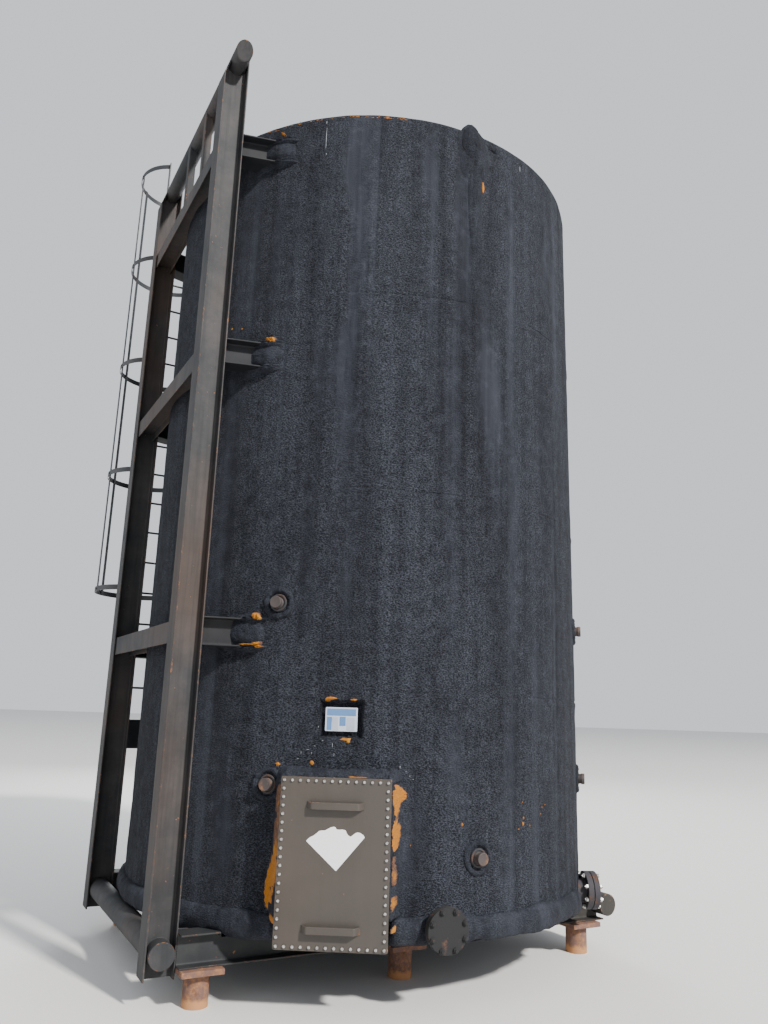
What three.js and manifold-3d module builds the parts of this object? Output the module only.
// Vertical storage tank, 12 ft across and 20 ft high, with its transport skid, caged ladder and piles.
// Millimetres, +Z up. The origin is under the middle of the whole, at the ground; -Y is the cleanout side.
import * as THREE from 'three';
import { mergeVertices } from 'three/addons/utils/BufferGeometryUtils.js';
import Module from 'manifold-3d';

const wasm = await Module();
wasm.setup();

// Driving dimensions of the tank. Heights named "...Height" are above the underside of the tank.
const GROUND_TO_TANK = 408;
const COURSE_HEIGHT = 1524;
const COURSE_COUNT = 4;
const SHELL_INNER_RADIUS = 1824;
const FOAM_RADIUS = 1880;
const TANK_SEGMENTS = 72;
const RADIAL_SEGMENTS = 28;
const FLOOR_THICKNESS = 10;
const ROOF_RISE = 152;
const ROOF_THICKNESS = 50;
const SEAT_GAP = 0.3;

// Driving dimensions of the skid. "Out" runs from the tank's axis to the skid, "along" from the far
// runner to the near one.
const SKID_TURN = 59.2;
const SKID_OUT = 1898;
const SKID_ALONG_SHIFT = -34;
const SKID_GAUGE = 2062;
const RUNNER_BOTTOM_HEIGHT = -241;
const RUNNER_TOP_HEIGHT = 6733;
const CROSS_MEMBER_HEIGHTS = [1940, 4002, 5815];
const SKID_PIPE_RADIUS = 84;
const BOTTOM_PIPE_HEIGHT = -93;
const PIPE_OVERHANG = 35;
// The top pipe's ends are cut on a slant: their upper edge stands out by "slant" more than their middle
const TOP_PIPE = { radius: 70, out: 1885, height: 6622, overhang: 135, slant: 44 };
const POST_ALONGS = [360, -160];
const POST_WIDTH = 76;
const POST_DEPTH = 64;
const NOSE_LENGTH = 250;
const NOSE_TIP_OUT = 1915;
const BRACKET_BLANK_LENGTH = 520;
const BRACKET_HEIGHTS = [1953, 4063, 5862];
const BRACKET_SPLAY = 14.5;

// Driving dimensions of the sills and piles
const SILL_ALONG = 1080;
const SILL_TOP_HEIGHT = 30;
const PILE_OUTS = { outer: 1655, middle: 152, inner: -1510 };
const PILE_RADIUS = 84;
const CAP_SIZE = 280;
const CAP_THICKNESS = 35;
const STUB_OUT = -1734;
const STUB_HEIGHT = -49;

// Driving dimensions of the ladder and its cage
const LADDER_OUT = 1665;
const LADDER_ALONG = -1488;
const LADDER_HALF_WIDTH = 190;
const LADDER_FOOT_HEIGHT = 1030;
const LADDER_TOP_HEIGHT = 7310;
const FIRST_RUNG_HEIGHT = 1285;
const RUNG_PITCH = 304.8;
const RUNG_COUNT = 17;
const FOOT_PLATE_HEIGHT = 245;
const STANDOFF_HEIGHTS = [1090, 3000, 4900, 5950];
const HOOP_HEIGHTS = [2550, 3755, 4955, 6150, 7280];
const HOOP_RADIUS = 411;
const HOOP_SETBACK = 372;
const HOOP_START = 28.6;
const CAGE_BAR_ANGLES = [84, 132, 180, 228, 276];

// Driving dimensions of the cleanout
const COVER_WIDTH = 711;
const COVER_HEIGHT = 1016;
const COVER_THICKNESS = 12;
const COVER_FACE = 2040;
const COVER_CENTRE_HEIGHT = 513;
const NECK_WIDTH = 660;
const NECK_HEIGHT = 964;
const NECK_WALL = 25;

// Foam built up round the cleanout's neck: half widths and heights at its face and at its foot
const NECK_FOAM = {
  face: 1988, foot: 1790, faceHalf: 366, footHalf: 436, faceTop: 1032, footTop: 1120, low: 176,
};

// Fittings in the shell. "Azimuth" is in degrees right of the cleanout's middle.
const PLUGS = [
  { name: 'plug_left_upper', azimuth: -14.7, height: 2160 },
  { name: 'plug_left_lower', azimuth: -14.7, height: 949 },
  { name: 'plug_front_right', azimuth: 29.8, height: 509 },
  { name: 'plug_right_upper', azimuth: 79, height: 2160 },
  { name: 'plug_right_lower', azimuth: 79, height: 949 },
];
const COUPLING_RADIUS = 54;
const COUPLING_STANDOUT = 26;
const PLUG_RADIUS = 44;
const PLUG_STANDOUT = 66;
const NOZZLE_RADIUS = 84;
const NOZZLE_FLANGE_RADIUS = 140;
const NOZZLE_FLANGE_THICKNESS = 25;
const GASKET_THICKNESS = 3;
const GASKET_RADIUS = 100;
const FRONT_NOZZLE = { azimuth: 21.3, height: 110, flangeFace: 1990 };
const SIDE_NOZZLE = { azimuth: 77, height: 110, backFace: 1912, aim: 98, flange: 45, gasket: 5 };
const SIDE_RECESS_RADIUS = 165;
const SIDE_RECESS_REACH = -22;
const WALL_INSIDE = SHELL_INNER_RADIUS - 14;
const PLATE_RECESS = { width: 290, height: 244, centre: 1382, depth: 45 };
const NAMEPLATE = { width: 216, height: 156, thickness: 4, setback: 8 };
const RIM_FITTING = { azimuth: 28.1, halfWidth: 135, halfDepth: 95, halfHeight: 140 };
const RIDGE_LENGTH = 800;
const BASE_BEADS = { base_bead_front: [10.8, 69], base_bead_rear: [86, 349.2] };

// Rolled sections: depth, flange width, web and flange thickness
const W8 = { depth: 201, width: 165, web: 6.2, flange: 10.2 };
const W6 = { depth: 152, width: 152, web: 5.8, flange: 6.6 };

const COLOURS = {
  foam: 0x2a2f36,
  skidSteel: 0x56524e,
  coverSteel: 0x5d5650,
  rustySteel: 0x5b4640,
  plugSteel: 0x8b6f69,
  nameplate: 0x6f8fb5,
  ladderSteel: 0x3a3d44,
};

const radians = THREE.MathUtils.degToRad;
const tank = new THREE.Group();
tank.name = 'vertical_storage_tank';

// Solids and meshes
function toSolid(geometry) {
  const bare = geometry.clone();
  bare.deleteAttribute('normal');
  bare.deleteAttribute('uv');
  const merged = mergeVertices(bare, 1e-4);
  return new wasm.Manifold(new wasm.Mesh({
    numProp: 3,
    vertProperties: new Float32Array(merged.attributes.position.array),
    triVerts: new Uint32Array(merged.index.array),
  }));
}

function toGeometry(solid) {
  const mesh = solid.getMesh();
  const geometry = new THREE.BufferGeometry();
  geometry.setAttribute('position', new THREE.Float32BufferAttribute(mesh.vertProperties, 3));
  geometry.setIndex(new THREE.Uint32BufferAttribute(mesh.triVerts, 1));
  geometry.computeVertexNormals();
  return geometry;
}

function cut(solid, ...tools) {
  return tools.reduce((rest, tool) => rest.subtract(tool), solid);
}

function join(first, ...others) {
  return others.reduce((whole, other) => whole.add(other), first);
}

function addMesh(parent, name, solid, colour, roughness, metalness) {
  const material = new THREE.MeshStandardMaterial({ color: colour, roughness, metalness });
  material.name = `${name}_material`;
  const mesh = new THREE.Mesh(toGeometry(solid), material);
  mesh.name = name;
  parent.add(mesh);
  return mesh;
}

// A box given by its lowest and highest corner
function box(low, high) {
  const size = high.map((value, axis) => value - low[axis]);
  const geometry = new THREE.BoxGeometry(...size);
  geometry.translate(...low.map((value, axis) => value + size[axis] / 2));
  return toSolid(geometry);
}

function shapeOf(points) {
  return new THREE.Shape(points.map(([x, y]) => new THREE.Vector2(x, y)));
}

// An outline in the XY plane carried up from z0 to z1
function upright(points, z0, z1, hole) {
  const shape = shapeOf(points);
  if (hole) shape.holes.push(new THREE.Path(hole.map(([x, y]) => new THREE.Vector2(x, y))));
  const geometry = new THREE.ExtrudeGeometry(shape, { depth: z1 - z0, bevelEnabled: false });
  geometry.translate(0, 0, z0);
  return toSolid(geometry);
}

// An outline of (x, z) points carried along Y from y0 to y1
function alongY(points, y0, y1) {
  const geometry = new THREE.ExtrudeGeometry(shapeOf(points), { depth: y1 - y0, bevelEnabled: false });
  geometry.rotateX(Math.PI / 2);
  geometry.translate(0, y1, 0);
  return toSolid(geometry);
}

// An outline of (y, z) points carried along X from x0 to x1
function alongX(points, x0, x1) {
  const geometry = new THREE.ExtrudeGeometry(shapeOf(points), { depth: x1 - x0, bevelEnabled: false });
  geometry.rotateX(Math.PI / 2);
  geometry.rotateZ(Math.PI / 2);
  geometry.translate(x0, 0, 0);
  return toSolid(geometry);
}

// Points on a circle about the Z axis; "turn" is the angle of the first one
function circlePoints(radius, segments, turn = 0) {
  return Array.from({ length: segments }, (_, index) => {
    const angle = radians(turn) + (index / segments) * 2 * Math.PI;
    return [radius * Math.cos(angle), radius * Math.sin(angle)];
  });
}

// A profile of (radius, height) points, listed upwards on the outside, turned about the Z axis
function turned(profile, segments, turn = 0) {
  const points = profile.map(([radius, height]) => new THREE.Vector2(radius, height));
  const geometry = new THREE.LatheGeometry(points, segments, radians(90 + turn), 2 * Math.PI);
  geometry.rotateX(Math.PI / 2);
  return toSolid(geometry);
}

// A profile of (radius, reach) points turned about a level line through a point over the tank's plan;
// the line points "aim" degrees right of the front
function aimedProfile(profile, aim, [x, y], height) {
  const geometry = new THREE.LatheGeometry(
    profile.map(([radius, reach]) => new THREE.Vector2(radius, reach)), RADIAL_SEGMENTS);
  geometry.rotateZ(Math.PI + radians(aim));
  geometry.translate(x, y, GROUND_TO_TANK + height);
  return toSolid(geometry);
}

// The same for a line that leaves the tank's own axis
function radialProfile(profile, azimuth, height) {
  return aimedProfile(profile, azimuth, [0, 0], height);
}

function iBeamOutline({ depth, width, web, flange }) {
  const d = depth / 2;
  const w = width / 2;
  const t = web / 2;
  return [
    [-w, -d], [w, -d], [w, -d + flange], [t, -d + flange],
    [t, d - flange], [w, d - flange], [w, d], [-w, d],
    [-w, d - flange], [-t, d - flange], [-t, -d + flange], [-w, -d + flange],
  ];
}

// The foam-coated tank as one solid, grown by "gap": everything seated on it is cut with this
function tankEnvelope(gap, turn = 0) {
  const eaves = GROUND_TO_TANK + COURSE_COUNT * COURSE_HEIGHT;
  return turned([
    [0, GROUND_TO_TANK - gap],
    [FOAM_RADIUS + gap, GROUND_TO_TANK - gap],
    [FOAM_RADIUS + gap, eaves + 20],
    [FOAM_RADIUS - 20 + gap, eaves + ROOF_THICKNESS + gap],
    [0, eaves + ROOF_THICKNESS + ROOF_RISE + gap],
  ], TANK_SEGMENTS, turn);
}

// Tank floor, shell courses and roof
function radialHole(radius, azimuth, height) {
  const start = WALL_INSIDE - 40;
  const end = FOAM_RADIUS + 30;
  return radialProfile([[0, start], [radius, start], [radius, end], [0, end]], azimuth, height);
}

// A profile turned about the side nozzle's line, with its reach counted from the back of the flange
function sideNozzleProfile(profile) {
  const { azimuth, height, backFace, aim } = SIDE_NOZZLE;
  const start = [backFace * Math.sin(radians(azimuth)), -backFace * Math.cos(radians(azimuth))];
  return aimedProfile(profile, aim, start, height);
}

// The hole for the side nozzle's neck, with a wider recess in the foam behind its flange
function sideNozzleHole() {
  const neck = NOZZLE_RADIUS + SEAT_GAP;
  return sideNozzleProfile([
    [0, -160], [neck, -160], [neck, SIDE_RECESS_REACH],
    [SIDE_RECESS_RADIUS, SIDE_RECESS_REACH], [SIDE_RECESS_RADIUS, 250], [0, 250],
  ]);
}

function neckOpening() {
  const centre = GROUND_TO_TANK + COVER_CENTRE_HEIGHT;
  const halfWidth = NECK_WIDTH / 2 + SEAT_GAP;
  const halfHeight = NECK_HEIGHT / 2 + SEAT_GAP;
  return box([-halfWidth, -COVER_FACE, centre - halfHeight], [halfWidth, -1600, centre + halfHeight]);
}

function plateRecess() {
  const { width, height, centre, depth } = PLATE_RECESS;
  const middle = GROUND_TO_TANK + centre;
  return box(
    [-width / 2, -COVER_FACE, middle - height / 2],
    [width / 2, -FOAM_RADIUS + depth, middle + height / 2]);
}

function addShell() {
  const floorRing = circlePoints(FOAM_RADIUS, TANK_SEGMENTS);
  const floorTop = GROUND_TO_TANK + FLOOR_THICKNESS;
  addMesh(tank, 'tank_floor', upright(floorRing, GROUND_TO_TANK, floorTop), COLOURS.foam, 0.8, 0.1);
  const inside = circlePoints(SHELL_INNER_RADIUS, TANK_SEGMENTS);
  for (let course = 0; course < COURSE_COUNT; course += 1) {
    const bottom = course === 0 ? floorTop : GROUND_TO_TANK + course * COURSE_HEIGHT;
    const top = GROUND_TO_TANK + (course + 1) * COURSE_HEIGHT;
    let ring = upright(floorRing, bottom, top, inside);
    for (const { azimuth, height } of PLUGS) {
      if (Math.floor(height / COURSE_HEIGHT) === course) {
        ring = cut(ring, radialHole(COUPLING_RADIUS + SEAT_GAP, azimuth, height));
      }
    }
    if (course === 0) {
      ring = cut(
        ring, neckOpening(), plateRecess(),
        radialHole(NOZZLE_RADIUS + SEAT_GAP, FRONT_NOZZLE.azimuth, FRONT_NOZZLE.height),
        sideNozzleHole());
    }
    addMesh(tank, `shell_course_${course + 1}`, ring, COLOURS.foam, 0.75, 0.05);
  }
}

function addRoof() {
  const eaves = GROUND_TO_TANK + COURSE_COUNT * COURSE_HEIGHT;
  const roof = turned([
    [0, eaves + ROOF_RISE],
    [SHELL_INNER_RADIUS, eaves],
    [FOAM_RADIUS, eaves],
    [FOAM_RADIUS, eaves + 20],
    [FOAM_RADIUS - 20, eaves + ROOF_THICKNESS],
    [0, eaves + ROOF_THICKNESS + ROOF_RISE],
  ], TANK_SEGMENTS);
  addMesh(tank, 'roof_deck', roof, COLOURS.foam, 0.8, 0.05);
}

// Foam-covered fitting on the rim, with the ridge of foam that runs down from it
function addRimFitting() {
  const eaves = GROUND_TO_TANK + COURSE_COUNT * COURSE_HEIGHT;
  const { azimuth, halfWidth, halfDepth, halfHeight } = RIM_FITTING;
  const lump = new THREE.SphereGeometry(1, 20, 12);
  lump.scale(halfWidth, halfDepth, halfHeight);
  lump.translate(0, -FOAM_RADIUS + 15, eaves + 10);
  const ridge = upright(
    [[-80, -FOAM_RADIUS + 30], [-55, -FOAM_RADIUS - 22], [0, -FOAM_RADIUS - 38],
      [55, -FOAM_RADIUS - 22], [80, -FOAM_RADIUS + 30]],
    eaves - RIDGE_LENGTH, eaves);
  const turnedBody = join(toSolid(lump), ridge).rotate([0, 0, azimuth]);
  const seated = cut(turnedBody, tankEnvelope(SEAT_GAP));
  addMesh(tank, 'rim_fitting_cover', seated, COLOURS.foam, 0.8, 0.05);
}

// Rolls of foam round the foot of the shell, either side of the cleanout
function beadBetween(fromAzimuth, toAzimuth) {
  const base = GROUND_TO_TANK;
  const inner = FOAM_RADIUS + SEAT_GAP;
  const ring = turned([
    [inner, base - 5], [inner + 30, base + 4], [inner + 50, base + 45], [inner + 54, base + 90],
    [inner + 44, base + 132], [inner + 22, base + 160], [inner, base + 172], [inner, base - 5],
  ], TANK_SEGMENTS);
  const reach = 4000;
  const steps = Math.max(2, Math.ceil((toAzimuth - fromAzimuth) / 60) + 1);
  const wedge = [[0, 0]];
  for (let step = 0; step < steps; step += 1) {
    const azimuth = radians(fromAzimuth + ((toAzimuth - fromAzimuth) * step) / (steps - 1));
    wedge.push([reach * Math.sin(azimuth), -reach * Math.cos(azimuth)]);
  }
  return ring.intersect(upright(wedge, base - 50, base + 250));
}

function addBeads(skidTools) {
  const nozzle = radialProfile(
    [[0, WALL_INSIDE], [NOZZLE_RADIUS + SEAT_GAP, WALL_INSIDE],
      [NOZZLE_RADIUS + SEAT_GAP, 2100], [0, 2100]],
    FRONT_NOZZLE.azimuth, FRONT_NOZZLE.height);
  for (const [name, [from, to]] of Object.entries(BASE_BEADS)) {
    const bead = cut(beadBetween(from, to), nozzle, ...skidTools);
    addMesh(tank, name, bead, COLOURS.foam, 0.8, 0.05);
  }
}

// Cleanout: neck with its flange, the bolted cover and two bent handles
function frameAt(width, height, wall, y0, y1) {
  const centre = GROUND_TO_TANK + COVER_CENTRE_HEIGHT;
  const outer = box([-width / 2, y0, centre - height / 2], [width / 2, y1, centre + height / 2]);
  const inner = box(
    [-width / 2 + wall, y0 - 1, centre - height / 2 + wall],
    [width / 2 - wall, y1 + 1, centre + height / 2 - wall]);
  return cut(outer, inner);
}

function addCleanout() {
  const coverBack = -COVER_FACE + COVER_THICKNESS;
  const flangeWall = NECK_WALL + (COVER_WIDTH - NECK_WIDTH) / 2;
  const neck = join(
    frameAt(NECK_WIDTH, NECK_HEIGHT, NECK_WALL, coverBack, -1740),
    frameAt(COVER_WIDTH, COVER_HEIGHT, flangeWall, coverBack, coverBack + 12));
  addMesh(tank, 'cleanout_neck', neck, COLOURS.coverSteel, 0.6, 0.4);
  const centre = GROUND_TO_TANK + COVER_CENTRE_HEIGHT;
  const cover = box(
    [-COVER_WIDTH / 2, -COVER_FACE, centre - COVER_HEIGHT / 2],
    [COVER_WIDTH / 2, coverBack, centre + COVER_HEIGHT / 2]);
  addMesh(tank, 'cleanout_cover', cover, COLOURS.coverSteel, 0.55, 0.4);
  const grip = [[-185, 0], [-150, -48], [150, -48], [185, 0], [177, 0], [146, -42], [-146, -42], [-177, 0]];
  for (const [name, height] of [['cover_handle_upper', 851], ['cover_handle_lower', 130]]) {
    const bar = upright(grip, -22, 22);
    const handle = addMesh(tank, name, bar, COLOURS.coverSteel, 0.55, 0.4);
    handle.position.set(0, -COVER_FACE, GROUND_TO_TANK + height);
  }
}

// Sloped frame of foam round the neck, open at the foot of the shell
function addCleanoutFoam() {
  const { face, foot, faceHalf, footHalf, faceTop, footTop, low } = NECK_FOAM;
  const base = GROUND_TO_TANK;
  const inside = -1700;
  const plan = upright([
    [-faceHalf, -face], [faceHalf, -face], [footHalf, -foot], [footHalf, inside],
    [-footHalf, inside], [-footHalf, -foot]], base + low, base + footTop);
  const side = alongX([
    [-face, base + low], [inside, base + low], [inside, base + footTop], [-foot, base + footTop],
    [-face, base + faceTop]], -footHalf, footHalf);
  const plug = PLUGS.find(({ name }) => name === 'plug_left_lower');
  const clearOfPlug = radialHole(COUPLING_RADIUS + SEAT_GAP, plug.azimuth, plug.height);
  const frame = cut(plan.intersect(side), neckOpening(), clearOfPlug, tankEnvelope(SEAT_GAP));
  addMesh(tank, 'cleanout_foam', frame, COLOURS.foam, 0.8, 0.05);
}

function addNameplate() {
  const { centre, depth } = PLATE_RECESS;
  const { width, height, thickness, setback } = NAMEPLATE;
  const floor = -FOAM_RADIUS + depth;
  const face = -FOAM_RADIUS + setback;
  const sheet = box(
    [-width / 2, face, centre - height / 2], [width / 2, face + thickness, centre + height / 2]);
  const posts = [-70, 70].map((x) => box([x - 10, face + 2, centre - 10], [x + 10, floor, centre + 10]));
  const plate = addMesh(tank, 'nameplate', join(sheet, ...posts), COLOURS.nameplate, 0.4, 0.6);
  plate.position.z = GROUND_TO_TANK;
}

// Threaded couplings closed with plugs
function addPlugs() {
  for (const { name, azimuth, height } of PLUGS) {
    const coupling = radialProfile([
      [0, WALL_INSIDE], [COUPLING_RADIUS, WALL_INSIDE], [COUPLING_RADIUS, FOAM_RADIUS + COUPLING_STANDOUT],
      [PLUG_RADIUS, FOAM_RADIUS + COUPLING_STANDOUT], [PLUG_RADIUS, FOAM_RADIUS + PLUG_STANDOUT - 4],
      [PLUG_RADIUS - 5, FOAM_RADIUS + PLUG_STANDOUT], [0, FOAM_RADIUS + PLUG_STANDOUT],
    ], azimuth, height);
    addMesh(tank, name, coupling, COLOURS.plugSteel, 0.7, 0.5);
  }
}

// Flanged nozzles and their blind flanges
function addFrontNozzle() {
  const { azimuth, height, flangeFace } = FRONT_NOZZLE;
  const flangeBack = flangeFace - NOZZLE_FLANGE_THICKNESS;
  const gasketFace = flangeFace + GASKET_THICKNESS;
  const blindBack = gasketFace + SEAT_GAP;
  const blindFace = blindBack + NOZZLE_FLANGE_THICKNESS;
  const neck = radialProfile([
    [0, WALL_INSIDE], [NOZZLE_RADIUS, WALL_INSIDE], [NOZZLE_RADIUS, flangeBack],
    [NOZZLE_FLANGE_RADIUS, flangeBack], [NOZZLE_FLANGE_RADIUS, flangeFace],
    [GASKET_RADIUS, flangeFace], [GASKET_RADIUS, gasketFace], [0, gasketFace],
  ], azimuth, height);
  const blind = radialProfile([
    [0, blindBack], [NOZZLE_FLANGE_RADIUS, blindBack], [NOZZLE_FLANGE_RADIUS, blindFace], [0, blindFace],
  ], azimuth, height);
  addMesh(tank, 'front_nozzle', neck, COLOURS.rustySteel, 0.7, 0.5);
  addMesh(tank, 'front_blind_flange', blind, COLOURS.rustySteel, 0.7, 0.5);
}

function addSideNozzle() {
  const { flange, gasket } = SIDE_NOZZLE;
  const gasketFace = flange + gasket;
  const blindBack = gasketFace + SEAT_GAP;
  const neck = sideNozzleProfile([
    [0, -110], [NOZZLE_RADIUS, -110], [NOZZLE_RADIUS, 0], [NOZZLE_FLANGE_RADIUS, 0],
    [NOZZLE_FLANGE_RADIUS, flange], [GASKET_RADIUS, flange], [GASKET_RADIUS, gasketFace], [0, gasketFace],
  ]);
  const blind = sideNozzleProfile([
    [0, blindBack], [NOZZLE_FLANGE_RADIUS, blindBack],
    [NOZZLE_FLANGE_RADIUS, blindBack + flange], [0, blindBack + flange],
  ]);
  addMesh(tank, 'side_nozzle', neck, COLOURS.rustySteel, 0.7, 0.5);
  addMesh(tank, 'side_blind_flange', blind, COLOURS.rustySteel, 0.7, 0.5);
}

// Skid frame: its own group, with X out from the tank and Y along from the far runner to the near one
const skidAngle = -(90 + SKID_TURN);
const skid = new THREE.Group();
skid.name = 'transport_skid';
skid.rotation.z = radians(skidAngle);
tank.add(skid);

function tankCutter() {
  return tankEnvelope(SEAT_GAP, -skidAngle);
}

const NEAR_ALONG = SKID_ALONG_SHIFT + SKID_GAUGE / 2;
const FAR_ALONG = SKID_ALONG_SHIFT - SKID_GAUGE / 2;
const INNER_FACE_OUT = SKID_OUT - W8.depth / 2;

function pipeAlong(radius, out, height, from, to) {
  const outline = circlePoints(radius, 32).map(([x, z]) => [out + x, GROUND_TO_TANK + height + z]);
  return alongY(outline, from, to);
}

function runner(along) {
  const base = GROUND_TO_TANK;
  const outline = iBeamOutline(W8).map(([across, deep]) => [SKID_OUT + deep, along + across]);
  const beam = upright(outline.reverse(), base + RUNNER_BOTTOM_HEIGHT, base + RUNNER_TOP_HEIGHT);
  const chamferLow = base + RUNNER_TOP_HEIGHT - NOSE_LENGTH;
  const edge = SKID_OUT + W8.depth / 2;
  const top = base + RUNNER_TOP_HEIGHT;
  const corner = alongY([[edge, chamferLow], [edge + 60, chamferLow], [edge + 60, top + 60],
    [NOSE_TIP_OUT, top + 60], [NOSE_TIP_OUT, top]], along - 200, along + 200);
  const nosePlate = alongY([[edge, chamferLow], [NOSE_TIP_OUT, top], [NOSE_TIP_OUT - 11, top],
    [edge - 11, chamferLow]], along - W8.width / 2, along + W8.width / 2);
  const from = SKID_ALONG_SHIFT - 2000;
  const to = SKID_ALONG_SHIFT + 2000;
  return cut(
    join(cut(beam, corner), nosePlate),
    pipeAlong(SKID_PIPE_RADIUS + SEAT_GAP, SKID_OUT, BOTTOM_PIPE_HEIGHT, from, to),
    pipeAlong(TOP_PIPE.radius + SEAT_GAP, TOP_PIPE.out, TOP_PIPE.height, from, to));
}

function addSkidFrame() {
  addMesh(skid, 'runner_near', runner(NEAR_ALONG), COLOURS.skidSteel, 0.6, 0.4);
  addMesh(skid, 'runner_far', runner(FAR_ALONG), COLOURS.skidSteel, 0.6, 0.4);
  const farEdge = FAR_ALONG - W8.width / 2;
  const nearEdge = NEAR_ALONG + W8.width / 2;
  const bottomPipe = pipeAlong(
    SKID_PIPE_RADIUS, SKID_OUT, BOTTOM_PIPE_HEIGHT, farEdge - PIPE_OVERHANG, nearEdge + PIPE_OVERHANG);
  addMesh(skid, 'bottom_pipe', bottomPipe, COLOURS.skidSteel, 0.6, 0.4);
  const topMember = GROUND_TO_TANK + CROSS_MEMBER_HEIGHTS[2] + W6.web / 2 + SEAT_GAP;
  const postTop = GROUND_TO_TANK + TOP_PIPE.height - TOP_PIPE.radius / 3;
  const posts = POST_ALONGS.map((along) => box(
    [FOAM_RADIUS + 6, along - POST_WIDTH / 2, topMember],
    [FOAM_RADIUS + 6 + POST_DEPTH, along + POST_WIDTH / 2, postTop]));
  const { radius, out, height, overhang, slant } = TOP_PIPE;
  const lean = 2 * slant;
  const level = GROUND_TO_TANK + height;
  const blank = pipeAlong(radius, out, height, farEdge - 2 * overhang, nearEdge + 2 * overhang);
  const trim = alongX([
    [farEdge - overhang + lean, level - 2 * radius], [nearEdge + overhang - lean, level - 2 * radius],
    [nearEdge + overhang + lean, level + 2 * radius], [farEdge - overhang - lean, level + 2 * radius],
  ], out - 2 * radius, out + 2 * radius);
  const topPipe = blank.intersect(trim);
  addMesh(skid, 'top_pipe', join(topPipe, ...posts), COLOURS.skidSteel, 0.6, 0.4);
}

function addCrossMembers() {
  const from = FAR_ALONG + W8.web / 2 + SEAT_GAP;
  const to = NEAR_ALONG - W8.web / 2 - SEAT_GAP;
  const middle = SKID_OUT + 85 - W6.depth / 2;
  CROSS_MEMBER_HEIGHTS.forEach((height, index) => {
    const level = GROUND_TO_TANK + height;
    const outline = iBeamOutline(W6).map(([across, deep]) => [middle + deep, level + across]);
    const member = cut(alongY(outline.reverse(), from, to), tankCutter());
    addMesh(skid, `cross_member_${index + 1}`, member, COLOURS.skidSteel, 0.6, 0.4);
  });
}

// Stub beams that carry the runners off the shell. They splay apart towards the shell, and their outer
// ends are cut square to the skid where they meet the runners
function addBrackets() {
  const end = INNER_FACE_OUT - SEAT_GAP;
  const runnerTop = GROUND_TO_TANK + RUNNER_TOP_HEIGHT;
  const beyond = box([end, FAR_ALONG - W8.depth, 0], [SKID_OUT, NEAR_ALONG + W8.depth, runnerTop]);
  for (const [side, along, way] of [['near', NEAR_ALONG, -1], ['far', FAR_ALONG, 1]]) {
    BRACKET_HEIGHTS.forEach((height, index) => {
      const outline = iBeamOutline(W8).map(([across, deep]) => [across, GROUND_TO_TANK + height + deep]);
      const blank = alongX(outline, -BRACKET_BLANK_LENGTH, W8.width / 2);
      const placed = blank.rotate([0, 0, way * BRACKET_SPLAY]).translate([end, along, 0]);
      const stub = cut(placed, beyond, tankCutter());
      addMesh(skid, `bracket_${side}_${index + 1}`, stub, COLOURS.skidSteel, 0.6, 0.4);
    });
  }
}

// Sills under the tank, coped to its underside; a short pipe stub closes the inner end of each
function sillBlank(along, grow) {
  const top = GROUND_TO_TANK + SILL_TOP_HEIGHT + grow;
  const half = W8.width / 2 + grow;
  return box([STUB_OUT, along - half, top - W8.depth], [INNER_FACE_OUT - SEAT_GAP, along + half, top]);
}

function sill(along) {
  const centre = GROUND_TO_TANK + SILL_TOP_HEIGHT - W8.depth / 2;
  const outline = iBeamOutline(W8).map(([across, deep]) => [along + across, centre + deep]);
  const beam = alongX(outline, STUB_OUT, INNER_FACE_OUT - SEAT_GAP);
  const stubHole = pipeAlong(SKID_PIPE_RADIUS + SEAT_GAP, STUB_OUT, STUB_HEIGHT, along - 300, along + 300);
  return cut(beam, stubHole, tankCutter());
}

function addSills() {
  for (const [side, along] of [['near', SILL_ALONG], ['far', -SILL_ALONG]]) {
    addMesh(skid, `sill_${side}`, sill(along), COLOURS.skidSteel, 0.65, 0.4);
    const outward = Math.sign(along);
    const ends = [along - outward * 130, along + outward * 142].sort((a, b) => a - b);
    const stub = pipeAlong(SKID_PIPE_RADIUS, STUB_OUT, STUB_HEIGHT, ...ends);
    addMesh(skid, `pipe_stub_${side}`, stub, COLOURS.skidSteel, 0.6, 0.4);
  }
}

// Piles with square cap plates
function addPiles() {
  const capTop = GROUND_TO_TANK + SILL_TOP_HEIGHT - W8.depth - SEAT_GAP;
  const capBottom = capTop - CAP_THICKNESS;
  for (const [side, along] of [['near', SILL_ALONG], ['far', -SILL_ALONG]]) {
    for (const [place, out] of Object.entries(PILE_OUTS)) {
      const post = upright(circlePoints(PILE_RADIUS, 32), 0, capBottom + 5);
      const cap = box([-CAP_SIZE / 2, -CAP_SIZE / 2, capBottom], [CAP_SIZE / 2, CAP_SIZE / 2, capTop]);
      const pile = addMesh(skid, `pile_${side}_${place}`, join(post, cap), COLOURS.rustySteel, 0.85, 0.3);
      pile.position.set(out, along, 0);
    }
  }
}

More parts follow.
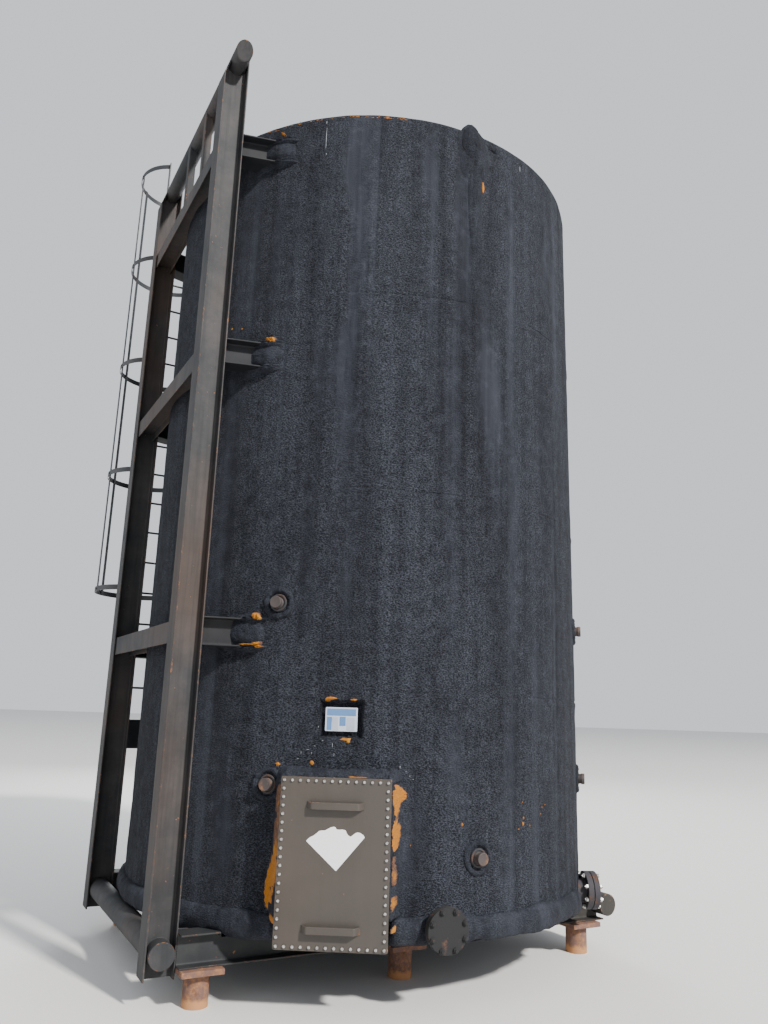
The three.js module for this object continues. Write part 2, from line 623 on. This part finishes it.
// Ladder with standoffs to the shell and to the far runner's web
function addLadder() {
  const base = GROUND_TO_TANK;
  const foot = base + LADDER_FOOT_HEIGHT;
  const top = base + LADDER_TOP_HEIGHT;
  const stringers = [-1, 1].map((side) => {
    const out = LADDER_OUT + side * LADDER_HALF_WIDTH;
    return box([out - 5, LADDER_ALONG - 32, foot], [out + 5, LADDER_ALONG + 32, top]);
  });
  const rungs = Array.from({ length: RUNG_COUNT }, (_, index) => {
    const height = base + FIRST_RUNG_HEIGHT + index * RUNG_PITCH;
    const outline = circlePoints(10, 8, 22.5).map(([y, z]) => [LADDER_ALONG + y, height + z]);
    return alongX(outline, LADDER_OUT - LADDER_HALF_WIDTH, LADDER_OUT + LADDER_HALF_WIDTH);
  });
  const footPlate = box(
    [LADDER_OUT - LADDER_HALF_WIDTH, LADDER_ALONG - 6, foot],
    [LADDER_OUT + LADDER_HALF_WIDTH, LADDER_ALONG + 6, foot + FOOT_PLATE_HEIGHT]);
  const webBack = FAR_ALONG - W8.web / 2 - SEAT_GAP;
  const standoffs = STANDOFF_HEIGHTS.flatMap((height) => {
    const z = base + height;
    const outer = LADDER_OUT + LADDER_HALF_WIDTH;
    const inner = LADDER_OUT - LADDER_HALF_WIDTH;
    return [
      box([outer - 4, LADDER_ALONG, z - 25], [outer + 4, webBack, z + 25]),
      box([inner - 500, LADDER_ALONG - 4, z - 25], [inner, LADDER_ALONG + 4, z + 25]),
    ];
  });
  const ladder = cut(join(stringers[0], stringers[1], ...rungs, footPlate, ...standoffs), tankCutter());
  addMesh(skid, 'ladder', ladder, COLOURS.ladderSteel, 0.6, 0.4);
}

// Cage of flat-bar hoops and uprights
function addCage() {
  const base = GROUND_TO_TANK;
  const centreAlong = LADDER_ALONG - HOOP_SETBACK;
  const arc = (radius, from, to, steps) => Array.from({ length: steps + 1 }, (_, index) => {
    const angle = radians(from + ((to - from) * index) / steps);
    return [LADDER_OUT + radius * Math.sin(angle), centreAlong + radius * Math.cos(angle)];
  });
  const hoops = HOOP_HEIGHTS.map((height) => {
    const outline = [
      ...arc(HOOP_RADIUS + 3, HOOP_START, 360 - HOOP_START, 22),
      ...arc(HOOP_RADIUS - 3, 360 - HOOP_START, HOOP_START, 22),
    ];
    return upright(outline.reverse(), base + height - 25, base + height + 25);
  });
  const low = base + HOOP_HEIGHTS[0] - 25;
  const high = base + HOOP_HEIGHTS[HOOP_HEIGHTS.length - 1] + 25;
  const bars = CAGE_BAR_ANGLES.map((angle) => {
    const half = THREE.MathUtils.radToDeg(19 / HOOP_RADIUS);
    const outline = [
      ...arc(HOOP_RADIUS - 1, angle - half, angle + half, 1),
      ...arc(HOOP_RADIUS - 8, angle + half, angle - half, 1),
    ];
    return upright(outline.reverse(), low, high);
  });
  addMesh(skid, 'ladder_cage', join(...hoops, ...bars), COLOURS.ladderSteel, 0.6, 0.4);
}

addShell();
addRoof();
addRimFitting();
addCleanout();
addCleanoutFoam();
addNameplate();
addPlugs();
addFrontNozzle();
addSideNozzle();
addSkidFrame();
addCrossMembers();
addBrackets();
addSills();
addPiles();
addLadder();
addCage();
addBeads([SILL_ALONG, -SILL_ALONG].map((along) => sillBlank(along, SEAT_GAP).rotate([0, 0, skidAngle])));

// Move the origin from the tank's axis to under the middle of the whole
const extent = new THREE.Box3().setFromObject(tank, true);
const middle = extent.getCenter(new THREE.Vector3());
tank.position.set(-middle.x, -middle.y, 0);

export default tank;
